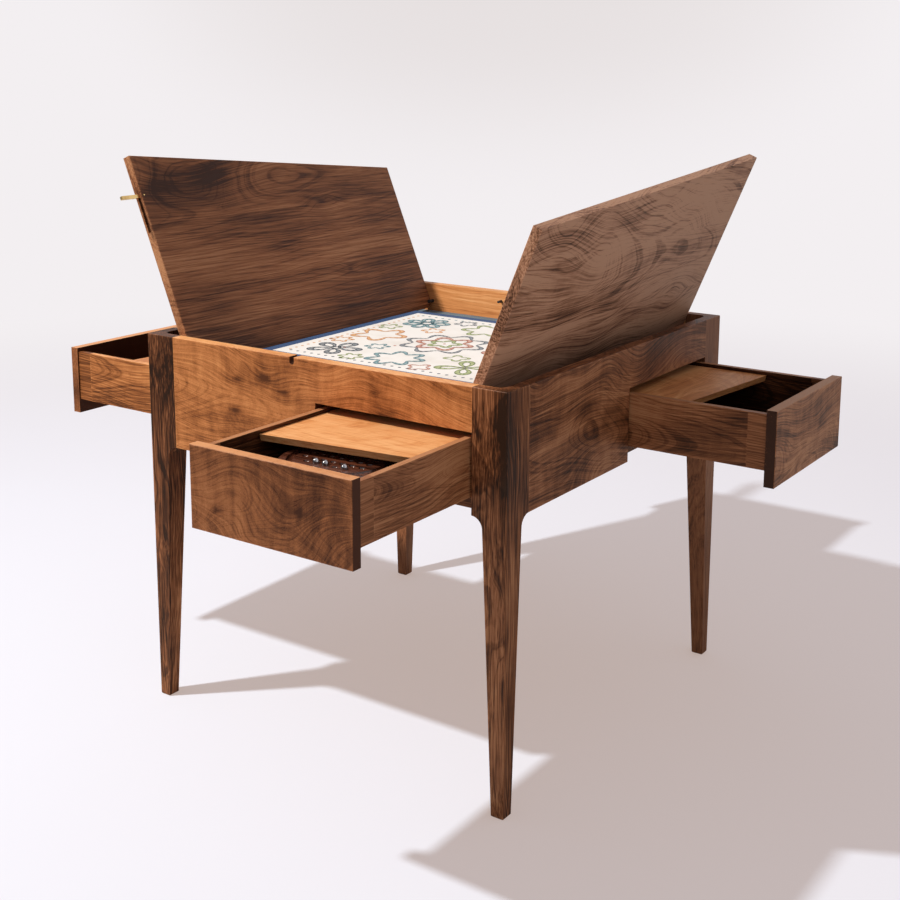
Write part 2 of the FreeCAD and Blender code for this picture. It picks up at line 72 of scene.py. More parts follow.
class Sock:
    """One output socket whose arithmetic adds Math nodes to its graph."""

    def __init__(self, graph: "Graph", socket: bpy.types.NodeSocket) -> None:
        """Keeps the graph and the socket."""
        self.graph = graph
        self.socket = socket

    def __add__(self, other: "Value") -> "Sock":
        """This value plus another."""
        return self.graph.math("ADD", self, other)

    def __radd__(self, other: "Value") -> "Sock":
        """Another value plus this one."""
        return self.graph.math("ADD", other, self)

    def __sub__(self, other: "Value") -> "Sock":
        """This value less another."""
        return self.graph.math("SUBTRACT", self, other)

    def __rsub__(self, other: "Value") -> "Sock":
        """Another value less this one."""
        return self.graph.math("SUBTRACT", other, self)

    def __mul__(self, other: "Value") -> "Sock":
        """This value times another."""
        return self.graph.math("MULTIPLY", self, other)

    def __truediv__(self, other: "Value") -> "Sock":
        """This value over another."""
        return self.graph.math("DIVIDE", self, other)

    def __neg__(self) -> "Sock":
        """This value with its sign turned."""
        return self.graph.math("MULTIPLY", self, -1.0)

    def call(self, operation: str, *others: "Value") -> "Sock":
        """Another Math operation on this value."""
        return self.graph.math(operation, self, *others)

    def smooth(self, low: float, high: float) -> "Sock":
        """Smooth step of this value from 0 at low to 1 at high."""
        sockets = {"Value": self, "From Min": low, "From Max": high}
        return self.graph.node("MapRange", {"interpolation_type": "SMOOTHSTEP"}, sockets)


Value = Union[Sock, float, Sequence[float]]


class Graph:
    """Node tree of one material or world, built node by node."""

    def __init__(self, tree: bpy.types.NodeTree) -> None:
        """Empties the tree and keeps it."""
        self.tree = tree
        tree.nodes.clear()

    def node(
        self,
        kind: str,
        settings: Optional[Dict[str, Any]] = None,
        sockets: Optional[Dict[Key, "Value"]] = None,
        output: Key = 0,
    ) -> Sock:
        """Adds a node, sets its settings first and then its sockets.

        Args:
            kind: Node type without its ShaderNode prefix.
            settings: Properties of the node, or stops of its colour ramp.
            sockets: Values or links by the name or number of the input.
            output: Name or number of the output to give back.

        Returns:
            The chosen output.
        """
        node = self.tree.nodes.new("ShaderNode" + kind)
        for name, value in (settings or {}).items():
            if name == "stops":
                self._set_stops(node.color_ramp, value)
            else:
                setattr(node, name, value)
        for key, value in (sockets or {}).items():
            if isinstance(value, Sock):
                self.tree.links.new(value.socket, node.inputs[key])
            else:
                node.inputs[key].default_value = value
        return Sock(self, node.outputs[output] if len(node.outputs) else None)

    @staticmethod
    def _set_stops(ramp: bpy.types.ColorRamp, stops: Sequence[Tuple[float, Colour]]) -> None:
        """Gives a colour ramp its stops.

        Args:
            ramp: Ramp with its two first stops.
            stops: Position and colour of each stop, in order.
        """
        while len(ramp.elements) < len(stops):
            ramp.elements.new(1.0)
        for element, (position, colour) in zip(ramp.elements, stops):
            element.position = position
            element.color = colour

    def math(self, operation: str, *values: "Value") -> Sock:
        """Math node of up to three values."""
        return self.node("Math", {"operation": operation}, dict(enumerate(values)))

    def vector(self, x: "Value", y: "Value", z: "Value") -> Sock:
        """Vector of three values."""
        return self.node("CombineXYZ", None, {0: x, 1: y, 2: z})

    def parts(self, vector: Sock) -> List[Sock]:
        """The three values of a vector."""
        first = self.node("SeparateXYZ", None, {0: vector})
        return [Sock(self, socket) for socket in first.socket.node.outputs]

    def point(self) -> Sock:
        """Place on the object, in metres."""
        return self.node("TexCoord", None, None, "Object")

    def noise(self, at: Sock, scale: float, detail: float = 2.0, rough: float = 0.5) -> Sock:
        """Soft noise from 0 to 1 at a place, by waves per unit, octaves and their share."""
        sockets = {"Vector": at, "Scale": scale, "Detail": detail, "Roughness": rough}
        return self.node("TexNoise", None, sockets)

    def mix(self, factor: "Value", first: "Value", second: "Value", blend: str = "MIX") -> Sock:
        """Colour between two: the first at a factor of 0 and the second at 1."""
        settings = {"data_type": "RGBA", "blend_type": blend}
        return self.node("Mix", settings, {0: factor, 6: first, 7: second}, 2)

    def ray(self, kind: str) -> Sock:
        """1 for rays of one kind and 0 for others."""
        return self.node("LightPath", None, None, "Is %s Ray" % kind)

    def dot(self, way: Sock, other: Sequence[float]) -> Sock:
        """Dot product of a direction with a fixed one."""
        return self.node("VectorMath", {"operation": "DOT_PRODUCT"}, {0: way, 1: other}, "Value")

    def bump(self, height: Sock, strength: float, distance: float) -> Sock:
        """Normal bent by a height from 0 to 1, which rises by the distance in metres."""
        sockets = {"Strength": strength, "Distance": distance, "Height": height}
        return self.node("Bump", None, sockets)

    def surface(self, sockets: Dict[Key, "Value"]) -> None:
        """Ends the material in one principled shader with these inputs."""
        shader = self.node("BsdfPrincipled", None, sockets)
        self.node("OutputMaterial", None, {"Surface": shader})


def new_material(name: str) -> Tuple[bpy.types.Material, Graph]:
    """Empty node material.

    Args:
        name: Name of the material.

    Returns:
        The material and its graph.
    """
    material = bpy.data.materials.new(name)
    material.use_nodes = True
    return material, Graph(material.node_tree)


def dress(name: str, material: bpy.types.Material) -> None:
    """Puts a material on a node of the frame.

    Args:
        name: Name of the node.
        material: Its finish.
    """
    slots = FRAME["nodes"][name].data.materials
    slots.clear()
    slots.append(material)
    LOG.info("%s wears %s", name, material.name)


class Axis(Enum):
    """Axis of the table's frame."""

    X = 0
    Y = 1
    Z = 2

    def other(self, second: "Axis") -> "Axis":
        """The axis that is neither this one nor the second."""
        return Axis(3 - self.value - second.value)


class Cut(Enum):
    """How a board lay in its log: pith across and behind in metres, and its lean along both."""

    CROWN = (0.020, -0.060, 0.035, 0.100)
    RIFT = (0.120, -0.110, 0.020, 0.030)
    QUARTER = (0.330, -0.040, 0.012, 0.010)


class Tone(Enum):
    """Colours of a wood from its darkest streak to its palest."""

    CHOCOLATE = (
        (0.045, 0.015, 0.007), (0.130, 0.048, 0.022), (0.260, 0.101, 0.045),
        (0.385, 0.162, 0.075), (0.500, 0.238, 0.118),
    )
    RUSSET = (
        (0.060, 0.017, 0.006), (0.175, 0.058, 0.021), (0.345, 0.124, 0.046),
        (0.500, 0.200, 0.080), (0.630, 0.295, 0.135),
    )
    GOLDEN = (
        (0.100, 0.030, 0.009), (0.290, 0.096, 0.028), (0.520, 0.192, 0.062),
        (0.680, 0.292, 0.106), (0.800, 0.420, 0.190),
    )
    UMBER = (
        (0.022, 0.0068, 0.0018), (0.080, 0.0245, 0.0078), (0.178, 0.0620, 0.0235),
        (0.310, 0.1180, 0.0500), (0.440, 0.1950, 0.0900),
    )
    # Greyer, paler walnut; its grey is a painted sheen of the bright surround on a shaded face.
    PAINTED_SHEEN = (
        (0.052, 0.020, 0.010), (0.145, 0.061, 0.033), (0.275, 0.126, 0.071),
        (0.405, 0.200, 0.120), (0.525, 0.285, 0.180),
    )
    ROSEWOOD = (
        (0.010, 0.003, 0.002), (0.040, 0.011, 0.006), (0.105, 0.030, 0.015),
        (0.190, 0.060, 0.030), (0.280, 0.100, 0.055),
    )
    BEECH = (
        (0.230, 0.120, 0.058), (0.330, 0.185, 0.095), (0.430, 0.260, 0.145),
        (0.510, 0.330, 0.200), (0.590, 0.410, 0.270),
    )


@dataclass(frozen=True)
class Knot:
    """Knot in a board: its place from the board's middle, its radius and its dark ground."""

    along: float
    across: float
    radius: float
    shade: float = 0.0


@dataclass(frozen=True)
class Lean:
    """Turn about an axis along Y that lays a tilted board flat again."""

    pivot: Tuple[float, float, float]
    angle: float


@dataclass(frozen=True)
class Board:
    """One wooden node: how its grain lies and what makes it differ from its neighbours."""

    node: str
    grain: Axis
    thick: Axis
    seed: int
    tone: Tone = Tone.CHOCOLATE
    cut: Cut = Cut.RIFT
    lift: float = 0.0
    contrast: float = 1.0
    figure: float = 0.0
    end: float = -0.12
    # Painted highlight along the top edge of up-facing faces, with painted shade on up-facing faces
    # below it.
    painted_highlight: float = 0.0
    # Painted shade on the faces that turn inwards; its sign picks the way.
    inside: float = 0.0
    staves: int = 1
    knots: Tuple[Knot, ...] = ()
    worn: bool = True
    lean: Optional[Lean] = None

    def flat_box(self) -> Tuple[np.ndarray, np.ndarray]:
        """Middle and half size of the node, laid flat if it leans.

        Returns:
            The middle and the half size, in metres.
        """
        mesh = FRAME["nodes"][self.node].data
        places = np.empty(len(mesh.vertices) * 3)
        mesh.vertices.foreach_get("co", places)
        places = places.reshape(-1, 3)
        if self.lean:
            turn = np.array(Matrix.Rotation(self.lean.angle, 3, "Y"))
            pivot = np.array(self.lean.pivot)
            places = (places - pivot) @ turn.T + pivot
        low, high = places.min(0), places.max(0)
        return (low + high) / 2, (high - low) / 2


@dataclass(frozen=True)
class Strand:
    """Noise drawn out along the grain: waves per metre, octaves and the seed's shares in it."""

    along: float
    across: float
    detail: float = 2.0
    rough: float = 0.5
    seeds: Tuple[float, float, float] = (1.0, 0.0, 0.0)

    def read(self, spot: Sequence[Sock], seed: float) -> Sock:
        """Value of the noise.

        Args:
            spot: Place along, across and through the board.
            seed: Seed of the board.

        Returns:
            The noise from 0 to 1.
        """
        waves = (self.along, self.across, self.across)
        parts = [place * wave for place, wave in zip(spot, waves)]
        parts = [part + seed * share if share else part for part, share in zip(parts, self.seeds)]
        graph = spot[0].graph
        return graph.noise(graph.vector(*parts), 1.0, self.detail, self.rough)


@dataclass(frozen=True)
class OiledWood:
    """Oiled solid wood, worked out in depth so that end grain meets face grain.

    The growth radius is the distance from a leaning pith line, pushed by noise and by knots. Bands
    and lines are noises read along that radius. Streaks, fibres and pores are noises drawn out
    along the grain.
    """

    cloud_gain: float = 0.85
    band_gain: float = 0.48
    line_gain: float = 0.22
    streak_gain: float = 0.40
    fibre_gain: float = 1.15
    figure_gain: float = 0.62
    calm_rate: float = 0.7
    speck_gain: float = 0.42
    swirl_gain: float = 0.22
    wander: float = 0.034
    ripple: float = 0.0024
    roughness: float = 0.50
    gloss: float = 0.20
    edge_reach: float = 0.003
    edge_gain: float = 0.22
    middle_tone: float = 0.60
    pit_gain: float = 0.16
    sway: float = 0.022
    slants: Span = (-0.04, 0.03)
    depth_share: float = 0.7
    band_waves: Span = (0.9, 42.0)
    line_waves: Span = (2.0, 290.0)
    late_wood: Span = (0.48, 0.62)
    pit_floor: Span = (0.58, 0.70)
    knot_stretch: float = 2.2
    knot_push: float = 0.60
    knot_falls: Span = (0.6, 9.0)
    heart_dark: float = 0.34
    stave_seeds: Span = (1.7, 40.3)
    stave_shifts: Span = (2.3, 0.16)
    stave_spread: float = 0.20
    end_way: Span = (0.7, 0.9)
    top_way: Span = (0.6, 0.9)
    # How far a face must turn inwards to take the painted inner shade.
    painted_shade_way: Span = (0.5, 0.9)
    # Depth of the painted highlight under a top edge, and the painted shade on up-facing faces
    # below it.
    painted_highlight_band: Span = (0.004, 0.001)
    painted_notch_shade: float = 0.5
    relief: Tuple[float, float, float, float] = (0.5, 0.8, 0.25, 0.8)
    relief_share: float = 0.22
    relief_height: float = 0.0005
    rough_gains: Span = (0.16, 0.14)
    speck_waves: float = 520.0
    scuff_waves: float = 60.0
    drift: Strand = Strand(2.1, 8.0, 3.0, seeds=(3.7, 1.0, 0.0))
    flutter: Strand = Strand(17.0, 46.0, 3.0, 0.6, (1.0, 0.0, 1.0))
    eddy: Strand = Strand(3.6, 5.0, 0.6, seeds=(1.0, 2.0, 0.0))
    bend: Strand = Strand(3.0, 9.0, seeds=(1.0, 2.0, 0.0))
    streak: Strand = Strand(1.4, 74.0, 4.0, 0.65, (1.0, 1.0, 0.0))
    fibre: Strand = Strand(8.0, 340.0, 2.0, 0.6, (0.0, 1.0, 0.0))
    pore: Strand = Strand(30.0, 820.0, 1.0, seeds=(0.0, 0.0, 1.0))
    cloud: Strand = Strand(3.2, 9.0, seeds=(1.0, 0.0, 1.0))
    curl: Strand = Strand(46.0, 15.0, 3.0, 0.6)

    def place(self, graph: Graph, board: Board) -> Tuple[List[Sock], np.ndarray]:
        """Place on the board along, across and through it.

        Args:
            graph: Graph of the board's material.
            board: The board.

        Returns:
            The three places from the board's middle, and its half size in that order.
        """
        point = graph.point()
        if board.lean:
            point = graph.node(
                "VectorRotate",
                {"rotation_type": "Y_AXIS"},
                {"Vector": point, "Center": board.lean.pivot, "Angle": board.lean.angle},
            )
        middle, half = board.flat_box()
        parts = graph.parts(point)
        order = [board.grain, board.grain.other(board.thick), board.thick]
        places = [parts[axis.value] - float(middle[axis.value]) for axis in order]
        return places, half[[axis.value for axis in order]]

    def radius(self, board: Board, spot: List[Sock], knots: "Value") -> Sock:
        """Growth radius: distance from the pith, pushed about.

        Args:
            board: The board.
            spot: Place along, across and through the board.
            knots: Push of the knots in metres.

        Returns:
            The radius in metres.
        """
        along, across, depth = spot
        pith_across, pith_depth, lean_across, lean_depth = board.cut.value
        seed = float(board.seed)
        push = (self.drift.read(spot, seed) - 0.5) * self.wander
        push = push + (self.flutter.read(spot, seed) - 0.5) * self.ripple
        hand = 1.0 if board.seed % 2 else -1.0
        side = across - hand * pith_across + along * (hand * lean_across) + push
        back = depth - pith_depth + along * lean_depth + push * self.depth_share
        return (side * side + back * back).call("SQRT") + knots

    def knots(self, board: Board, spot: List[Sock]) -> Tuple["Value", "Value"]:
        """Push and darkness of the board's knots.

        A knot's strength falls as the exponential of minus the squared distance, which is counted
        half along the grain. A wide fall pushes the rings and shades the ground, and a narrow one
        darkens the heart.

        Args:
            board: The board.
            spot: Place along, across and through the board.

        Returns:
            The push in metres, and the darkness.
        """
        push: Value = 0.0
        dark: Value = 0.0
        for knot in board.knots:
            along = (spot[0] - knot.along) / (knot.radius * self.knot_stretch)
            across = (spot[1] - knot.across) / knot.radius
            square = along * along + across * across
            wide, heart = ((-square * fall).call("EXPONENT") for fall in self.knot_falls)
            push = wide * (knot.radius * self.knot_push) + push
            dark = heart * self.heart_dark + wide * knot.shade + dark
        return push, dark

    def staves(
        self, graph: Graph, board: Board, spot: List[Sock], half: float
    ) -> Tuple[List[Sock], Sock]:
        """Splits a glued-up panel into staves with grain of their own.

        Args:
            graph: Graph of the board's material.
            board: The panel.
            spot: Place along, across and through the panel.
            half: Half of the panel's width.

        Returns:
            The place with each stave shifted, and each stave's own lightness.
        """
        width = 2 * half / board.staves
        first, second = self.stave_seeds
        index = ((spot[1] + half) / width).call("FLOOR") + board.seed * first
        white = graph.node("TexWhiteNoise", {"noise_dimensions": "1D"}, {"W": index})
        shade = graph.node("TexWhiteNoise", {"noise_dimensions": "1D"}, {"W": index + second})
        along, across = self.stave_shifts
        moved = [spot[0] + white * along, spot[1] + (shade - 0.5) * across, spot[2]]
        return moved, (white - 0.5) * self.stave_spread

    def edges(self, spot: List[Sock], half: np.ndarray) -> Sock:
        """Wear along the board's edges.

        On a face one of the three distances to the board's sides is nothing, so the middle one of
        the three is the distance to the nearest edge.

        Args:
            spot: Place along, across and through the board.
            half: Its half size in that order.

        Returns:
            1 on an edge, falling to 0 inside.
        """
        insets = (float(size) - part.call("ABSOLUTE") for part, size in zip(spot, half))
        first, second, third = insets
        low = first.call("MINIMUM", second)
        high = first.call("MAXIMUM", second)
        near = low.call("MAXIMUM", high.call("MINIMUM", third))
        return 1.0 - near.smooth(0.0, self.edge_reach)

    def faced(self, graph: Graph, board: Board, flat: List[Sock], half: np.ndarray) -> Sock:
        """End-grain lightness plus painted highlight, painted notch shade and painted inner shade.

        Args:
            graph: Graph of the board's material.
            board: The board.
            flat: Place along, across and through the board.
            half: Its half size in that order.

        Returns:
            The lightness to add.
        """
        facing = graph.parts(graph.node("TexCoord", None, None, "Normal"))
        light = facing[board.grain.value].call("ABSOLUTE").smooth(*self.end_way) * board.end
        # Painted highlight along the top edges of up-facing faces, and painted shade on lower
        # up-facing faces such as notch floors.
        if board.painted_highlight:
            low, high = (float(half[1]) - inset for inset in self.painted_highlight_band)
            rim = flat[1].smooth(low, high) * (board.painted_highlight + self.painted_notch_shade) - self.painted_notch_shade
            light = light + facing[Axis.Z.value].smooth(*self.top_way) * rim
        # Painted shade on the faces that turn towards the inside.
        if board.inside:
            way = Axis.X if board.lean else board.thick
            inner = (facing[way.value] * math.copysign(1.0, board.inside)).smooth(*self.painted_shade_way)
            light = light - inner * abs(board.inside)
        return light

    def make(self, board: Board) -> bpy.types.Material:
        """Material of one board.

        Args:
            board: The board.

        Returns:
            Its material.
        """
        material, graph = new_material("wood_" + board.node)
        flat, half = self.place(graph, board)
        push, dark = self.knots(board, flat)
        spot = flat
        lift: Value = board.lift
        seed = float(board.seed)
        if board.staves > 1:
            spot, stave_lift = self.staves(graph, board, flat, float(half[1]))
            lift = stave_lift + board.lift
        if board.figure:
            push = (self.eddy.read(spot, seed) - 0.5) * (self.swirl_gain * board.figure) + push
        radius = self.radius(board, spot, push)
        along, across, depth = spot
        bent = across + (self.bend.read(spot, seed) - 0.5) * self.sway + push
        bent = bent + along * self.slants[board.seed % 2]
        curved = [along, bent, depth]
        long_wave, ring_wave = self.band_waves
        ring = graph.vector(along * long_wave + seed, radius * ring_wave, seed)
        band = graph.noise(ring, 1.0, 3.0, 0.6)
        long_wave, ring_wave = self.line_waves
        ring = graph.vector(along * long_wave, radius * ring_wave, seed)
        late = graph.noise(ring, 1.0, 3.0, 0.65).smooth(*self.late_wood)
        fibre = self.fibre.read(curved, seed)
        pits = self.pore.read(curved, seed).smooth(*self.pit_floor)
        grain = (band - 0.5) * self.band_gain
        grain = grain + (self.streak.read(curved, seed) - 0.5) * self.streak_gain
        grain = grain + (fibre - 0.5) * self.fibre_gain - late * self.line_gain
        grain = grain * (1.0 / (1.0 + self.calm_rate * board.figure))
        grain = grain + (self.cloud.read(curved, seed) - 0.5) * self.cloud_gain
        tone = grain * board.contrast - pits * self.pit_gain + lift + self.middle_tone
        tone = tone + self.faced(graph, board, flat, half)
        if board.figure:
            curl = self.curl.read(curved, seed) - 0.5
            tone = tone + curl * (self.figure_gain * board.figure)
            speck = graph.noise(graph.point(), self.speck_waves, 2.0, 0.7) - 0.5
            tone = tone + speck * (self.speck_gain * board.figure)
        if board.knots:
            tone = tone - dark
        if board.worn:
            scuff = graph.noise(graph.point(), self.scuff_waves, 3.0)
            tone = tone + self.edges(flat, half) * scuff * self.edge_gain
        stops = [(index * 0.25, (*shade, 1)) for index, shade in enumerate(board.tone.value)]
        fibre_rise, pit_drop, late_drop, level = self.relief
        relief = fibre * fibre_rise - pits * pit_drop - late * late_drop + level
        fibre_rough, pit_rough = self.rough_gains
        graph.surface(
            {
                "Base Color": graph.node("ValToRGB", {"stops": stops}, {0: tone}),
                "Roughness": self.roughness + (fibre - 0.5) * fibre_rough + pits * pit_rough,
                "Specular IOR Level": self.gloss,
                "Normal": graph.bump(relief, self.relief_share, self.relief_height),
            }
        )
        return material


@dataclass(frozen=True)
class Finish:
    """Plain finish with a material of its own."""

    name: str

    def sockets(self, graph: Graph) -> Dict[Key, Value]:
        """Values and links of the finish's shader."""
        raise NotImplementedError

    def make(self) -> bpy.types.Material:
        """Material of the finish.

        Returns:
            The new material.
        """
        material, graph = new_material(self.name)
        graph.surface(self.sockets(graph))
        return material


@dataclass(frozen=True)
class TurnedMetal(Finish):
    """Metal with fine turning marks and faint tarnish."""

    colour: Colour
    tarnish: Colour
    roughness: float
    marks: float
    cloud_waves: float = 38.0
    mark_waves: float = 2600.0
    mark_height: float = 0.00004

    def sockets(self, graph: Graph) -> Dict[Key, Value]:
        """Values and links of the metal's shader.

        Args:
            graph: Graph of the material.

        Returns:
            Inputs of the shader.
        """
        point = graph.point()
        cloud = graph.noise(point, self.cloud_waves, 4.0, 0.6)
        mark = graph.noise(point, self.mark_waves, 2.0)
        colour = graph.mix(cloud.smooth(0.45, 0.75), self.colour, self.tarnish)
        rough = self.roughness + (cloud - 0.5) * 0.18 + (mark - 0.5) * 0.10
        return {
            "Base Color": colour,
            "Metallic": 1.0,
            "Roughness": rough,
            "Normal": graph.bump(mark, self.marks, self.mark_height),
        }


@dataclass(frozen=True)
class MattBlack(Finish):
    """Black rubbery sleeve with a dusty bloom."""

    colour: Colour
    bloom: Colour
    roughness: float = 0.55
    dust_waves: float = 140.0
    pebble_waves: float = 1500.0
    pebble_height: float = 0.0001

    def sockets(self, graph: Graph) -> Dict[Key, Value]:
        """Values and links of the sleeve's shader.

        Args:
            graph: Graph of the material.

        Returns:
            Inputs of the shader.
        """
        point = graph.point()
        dust = graph.noise(point, self.dust_waves, 5.0, 0.65)
        pebble = graph.noise(point, self.pebble_waves, 2.0)
        return {
            "Base Color": graph.mix(dust.smooth(0.4, 0.8), self.colour, self.bloom),
            "Roughness": self.roughness + (dust - 0.5) * 0.3,
            "Normal": graph.bump(pebble, 0.3, self.pebble_height),
        }


@dataclass(frozen=True)
class Felt(Finish):
    """Short wool felt: fibres in two sizes over slow clouds of colour."""

    shade: Colour
    colour: Colour
    nap: Colour
    roughness: float = 0.86
    sheen: float = 0.25
    cloud_waves: float = 14.0
    tuft_waves: float = 420.0
    hair_waves: float = 1900.0
    nap_height: float = 0.0008

    def sockets(self, graph: Graph) -> Dict[Key, Value]:
        """Values and links of the felt's shader.

        Args:
            graph: Graph of the material.

        Returns:
            Inputs of the shader.
        """
        point = graph.point()
        cloud = graph.noise(point, self.cloud_waves, 3.0)
        tuft = graph.noise(point, self.tuft_waves, 4.0, 0.7)
        hair = graph.noise(point, self.hair_waves, 2.0)
        base = graph.mix(cloud.smooth(0.3, 0.7), self.shade, self.colour)
        base = graph.mix(tuft.smooth(0.45, 0.85), base, self.nap)
        return {
            "Base Color": base,
            "Roughness": self.roughness + (tuft - 0.5) * 0.2,
            "Sheen Weight": self.sheen,
            "Normal": graph.bump(tuft * 0.7 + hair * 0.5, 0.45, self.nap_height),
        }


@dataclass(frozen=True)
class BookCloth(Finish):
    """Book cloth on a board: a plain weave with slubs."""

    shade: Colour
    colour: Colour
    thread: float
    roughness: float = 0.72
    slub_waves: Span = (60.0, 700.0)
    cloud_waves: float = 9.0
    weave_height: float = 0.0002

    def sockets(self, graph: Graph) -> Dict[Key, Value]:
        """Values and links of the cloth's shader.

        Args:
            graph: Graph of the material.

        Returns:
            Inputs of the shader.
        """
        x, y, z = graph.parts(graph.point())
        turn = 2 * math.pi / self.thread
        warp = ((x + z) * turn).call("SINE")
        weft = ((y + z) * turn).call("SINE")
        weave = warp * weft * 0.5 + 0.5
        along, across = self.slub_waves
        slub = graph.noise(graph.vector(x * along, y * across, z * across), 1.0, 3.0)
        cloud = graph.noise(graph.point(), self.cloud_waves, 3.0)
        factor = weave * 0.45 + slub * 0.5 + (cloud - 0.5) * 0.5
        return {
            "Base Color": graph.mix(factor, self.shade, self.colour),
            "Roughness": self.roughness + (slub - 0.5) * 0.2,
            "Normal": graph.bump(weave, 0.3, self.weave_height),
        }


@dataclass(frozen=True)
class PrintPaper(Finish):
    """Heavy uncoated paper with fibres and the faintest toning."""

    colour: Colour
    toned: Colour
    roughness: float = 0.62
    cloud_waves: float = 11.0
    fleck_waves: float = 900.0
    fleck_height: float = 0.0001

    def sockets(self, graph: Graph) -> Dict[Key, Value]:
        """Values and links of the paper's shader.

        Args:
            graph: Graph of the material.

        Returns:
            Inputs of the shader.
        """
        point = graph.point()
        cloud = graph.noise(point, self.cloud_waves, 4.0)
        fleck = graph.noise(point, self.fleck_waves, 3.0, 0.7)
        base = graph.mix(cloud.smooth(0.42, 0.80), self.colour, self.toned)
        base = graph.mix(fleck.smooth(0.66, 0.80) * 0.35, base, self.toned)
        return {
            "Base Color": base,
            "Roughness": self.roughness + (fleck - 0.5) * 0.2,
            "Normal": graph.bump(fleck, 0.15, self.fleck_height),
        }


@dataclass(frozen=True)
class PrintInk(Finish):
    """Printed band: a colour with paler cross bars, darker rims and a dry, patchy edge."""

    colour: Colour
    bar: Colour
    rim: Colour
    roughness: float = 0.58
    grain_waves: float = 700.0
    grain_height: float = 0.0001

    def sockets(self, graph: Graph) -> Dict[Key, Value]:
        """Values and links of the ink's shader, which reads the band's own attributes.

        Args:
            graph: Graph of the material.

        Returns:
            Inputs of the shader.
        """
        stripe = graph.node("Attribute", {"attribute_name": "stripe"}, None, "Fac")
        across = graph.node("Attribute", {"attribute_name": "across"}, None, "Fac").call("ABSOLUTE")
        grain = graph.noise(graph.point(), self.grain_waves, 4.0, 0.7)
        bars = (stripe + (grain - 0.5) * 0.3).smooth(0.50, 0.62)
        base = graph.mix(bars * 0.8, self.colour, self.bar)
        base = graph.mix(across.smooth(0.50, 0.72), base, self.rim)
        base = graph.mix(grain.smooth(0.56, 0.80) * 0.4, base, self.bar)
        return {
            "Base Color": base,
            "Roughness": self.roughness + (grain - 0.5) * 0.2,
            "Normal": graph.bump(grain, 0.1, self.grain_height),
        }


@dataclass
class MeshParts:
    """Vertices, faces and attributes gathered for one mesh."""

    places: List[np.ndarray] = field(default_factory=list)
    faces: List[List[int]] = field(default_factory=list)
    stripe: List[np.ndarray] = field(default_factory=list)
    across: List[np.ndarray] = field(default_factory=list)
    count: int = 0

    def add(
        self,
        places: np.ndarray,
        faces: Sequence[np.ndarray],
        stripe: np.ndarray,
        across: np.ndarray,
    ) -> None:
        """Adds one closed shape.

        Args:
            places: Vertices, one row each.
            faces: Arrays of faces that count from the shape's own first vertex.
            stripe: Stripe attribute of each vertex.
            across: Across attribute of each vertex.
        """
        self.places.append(places)
        self.faces.extend(row for block in faces for row in (block + self.count).tolist())
        self.stripe.append(stripe)
        self.across.append(across)
        self.count += len(places)

    def build(self, name: str, material: bpy.types.Material) -> bpy.types.Object:
        """Makes the object.

        Args:
            name: Name of the piece.
            material: Its finish.

        Returns:
            The new object, at the origin.
        """
        mesh = bpy.data.meshes.new(name)
        mesh.from_pydata(np.concatenate(self.places), [], self.faces)
        for label, rows in (("stripe", self.stripe), ("across", self.across)):
            attribute = mesh.attributes.new(label, "FLOAT", "POINT")
            attribute.data.foreach_set("value", np.concatenate(rows).astype(np.float32))
        mesh.materials.append(material)
        mesh.update()
        piece = bpy.data.objects.new(name, mesh)
        bpy.context.scene.collection.objects.link(piece)
        LOG.info("%s has %d vertices", name, self.count)
        return piece


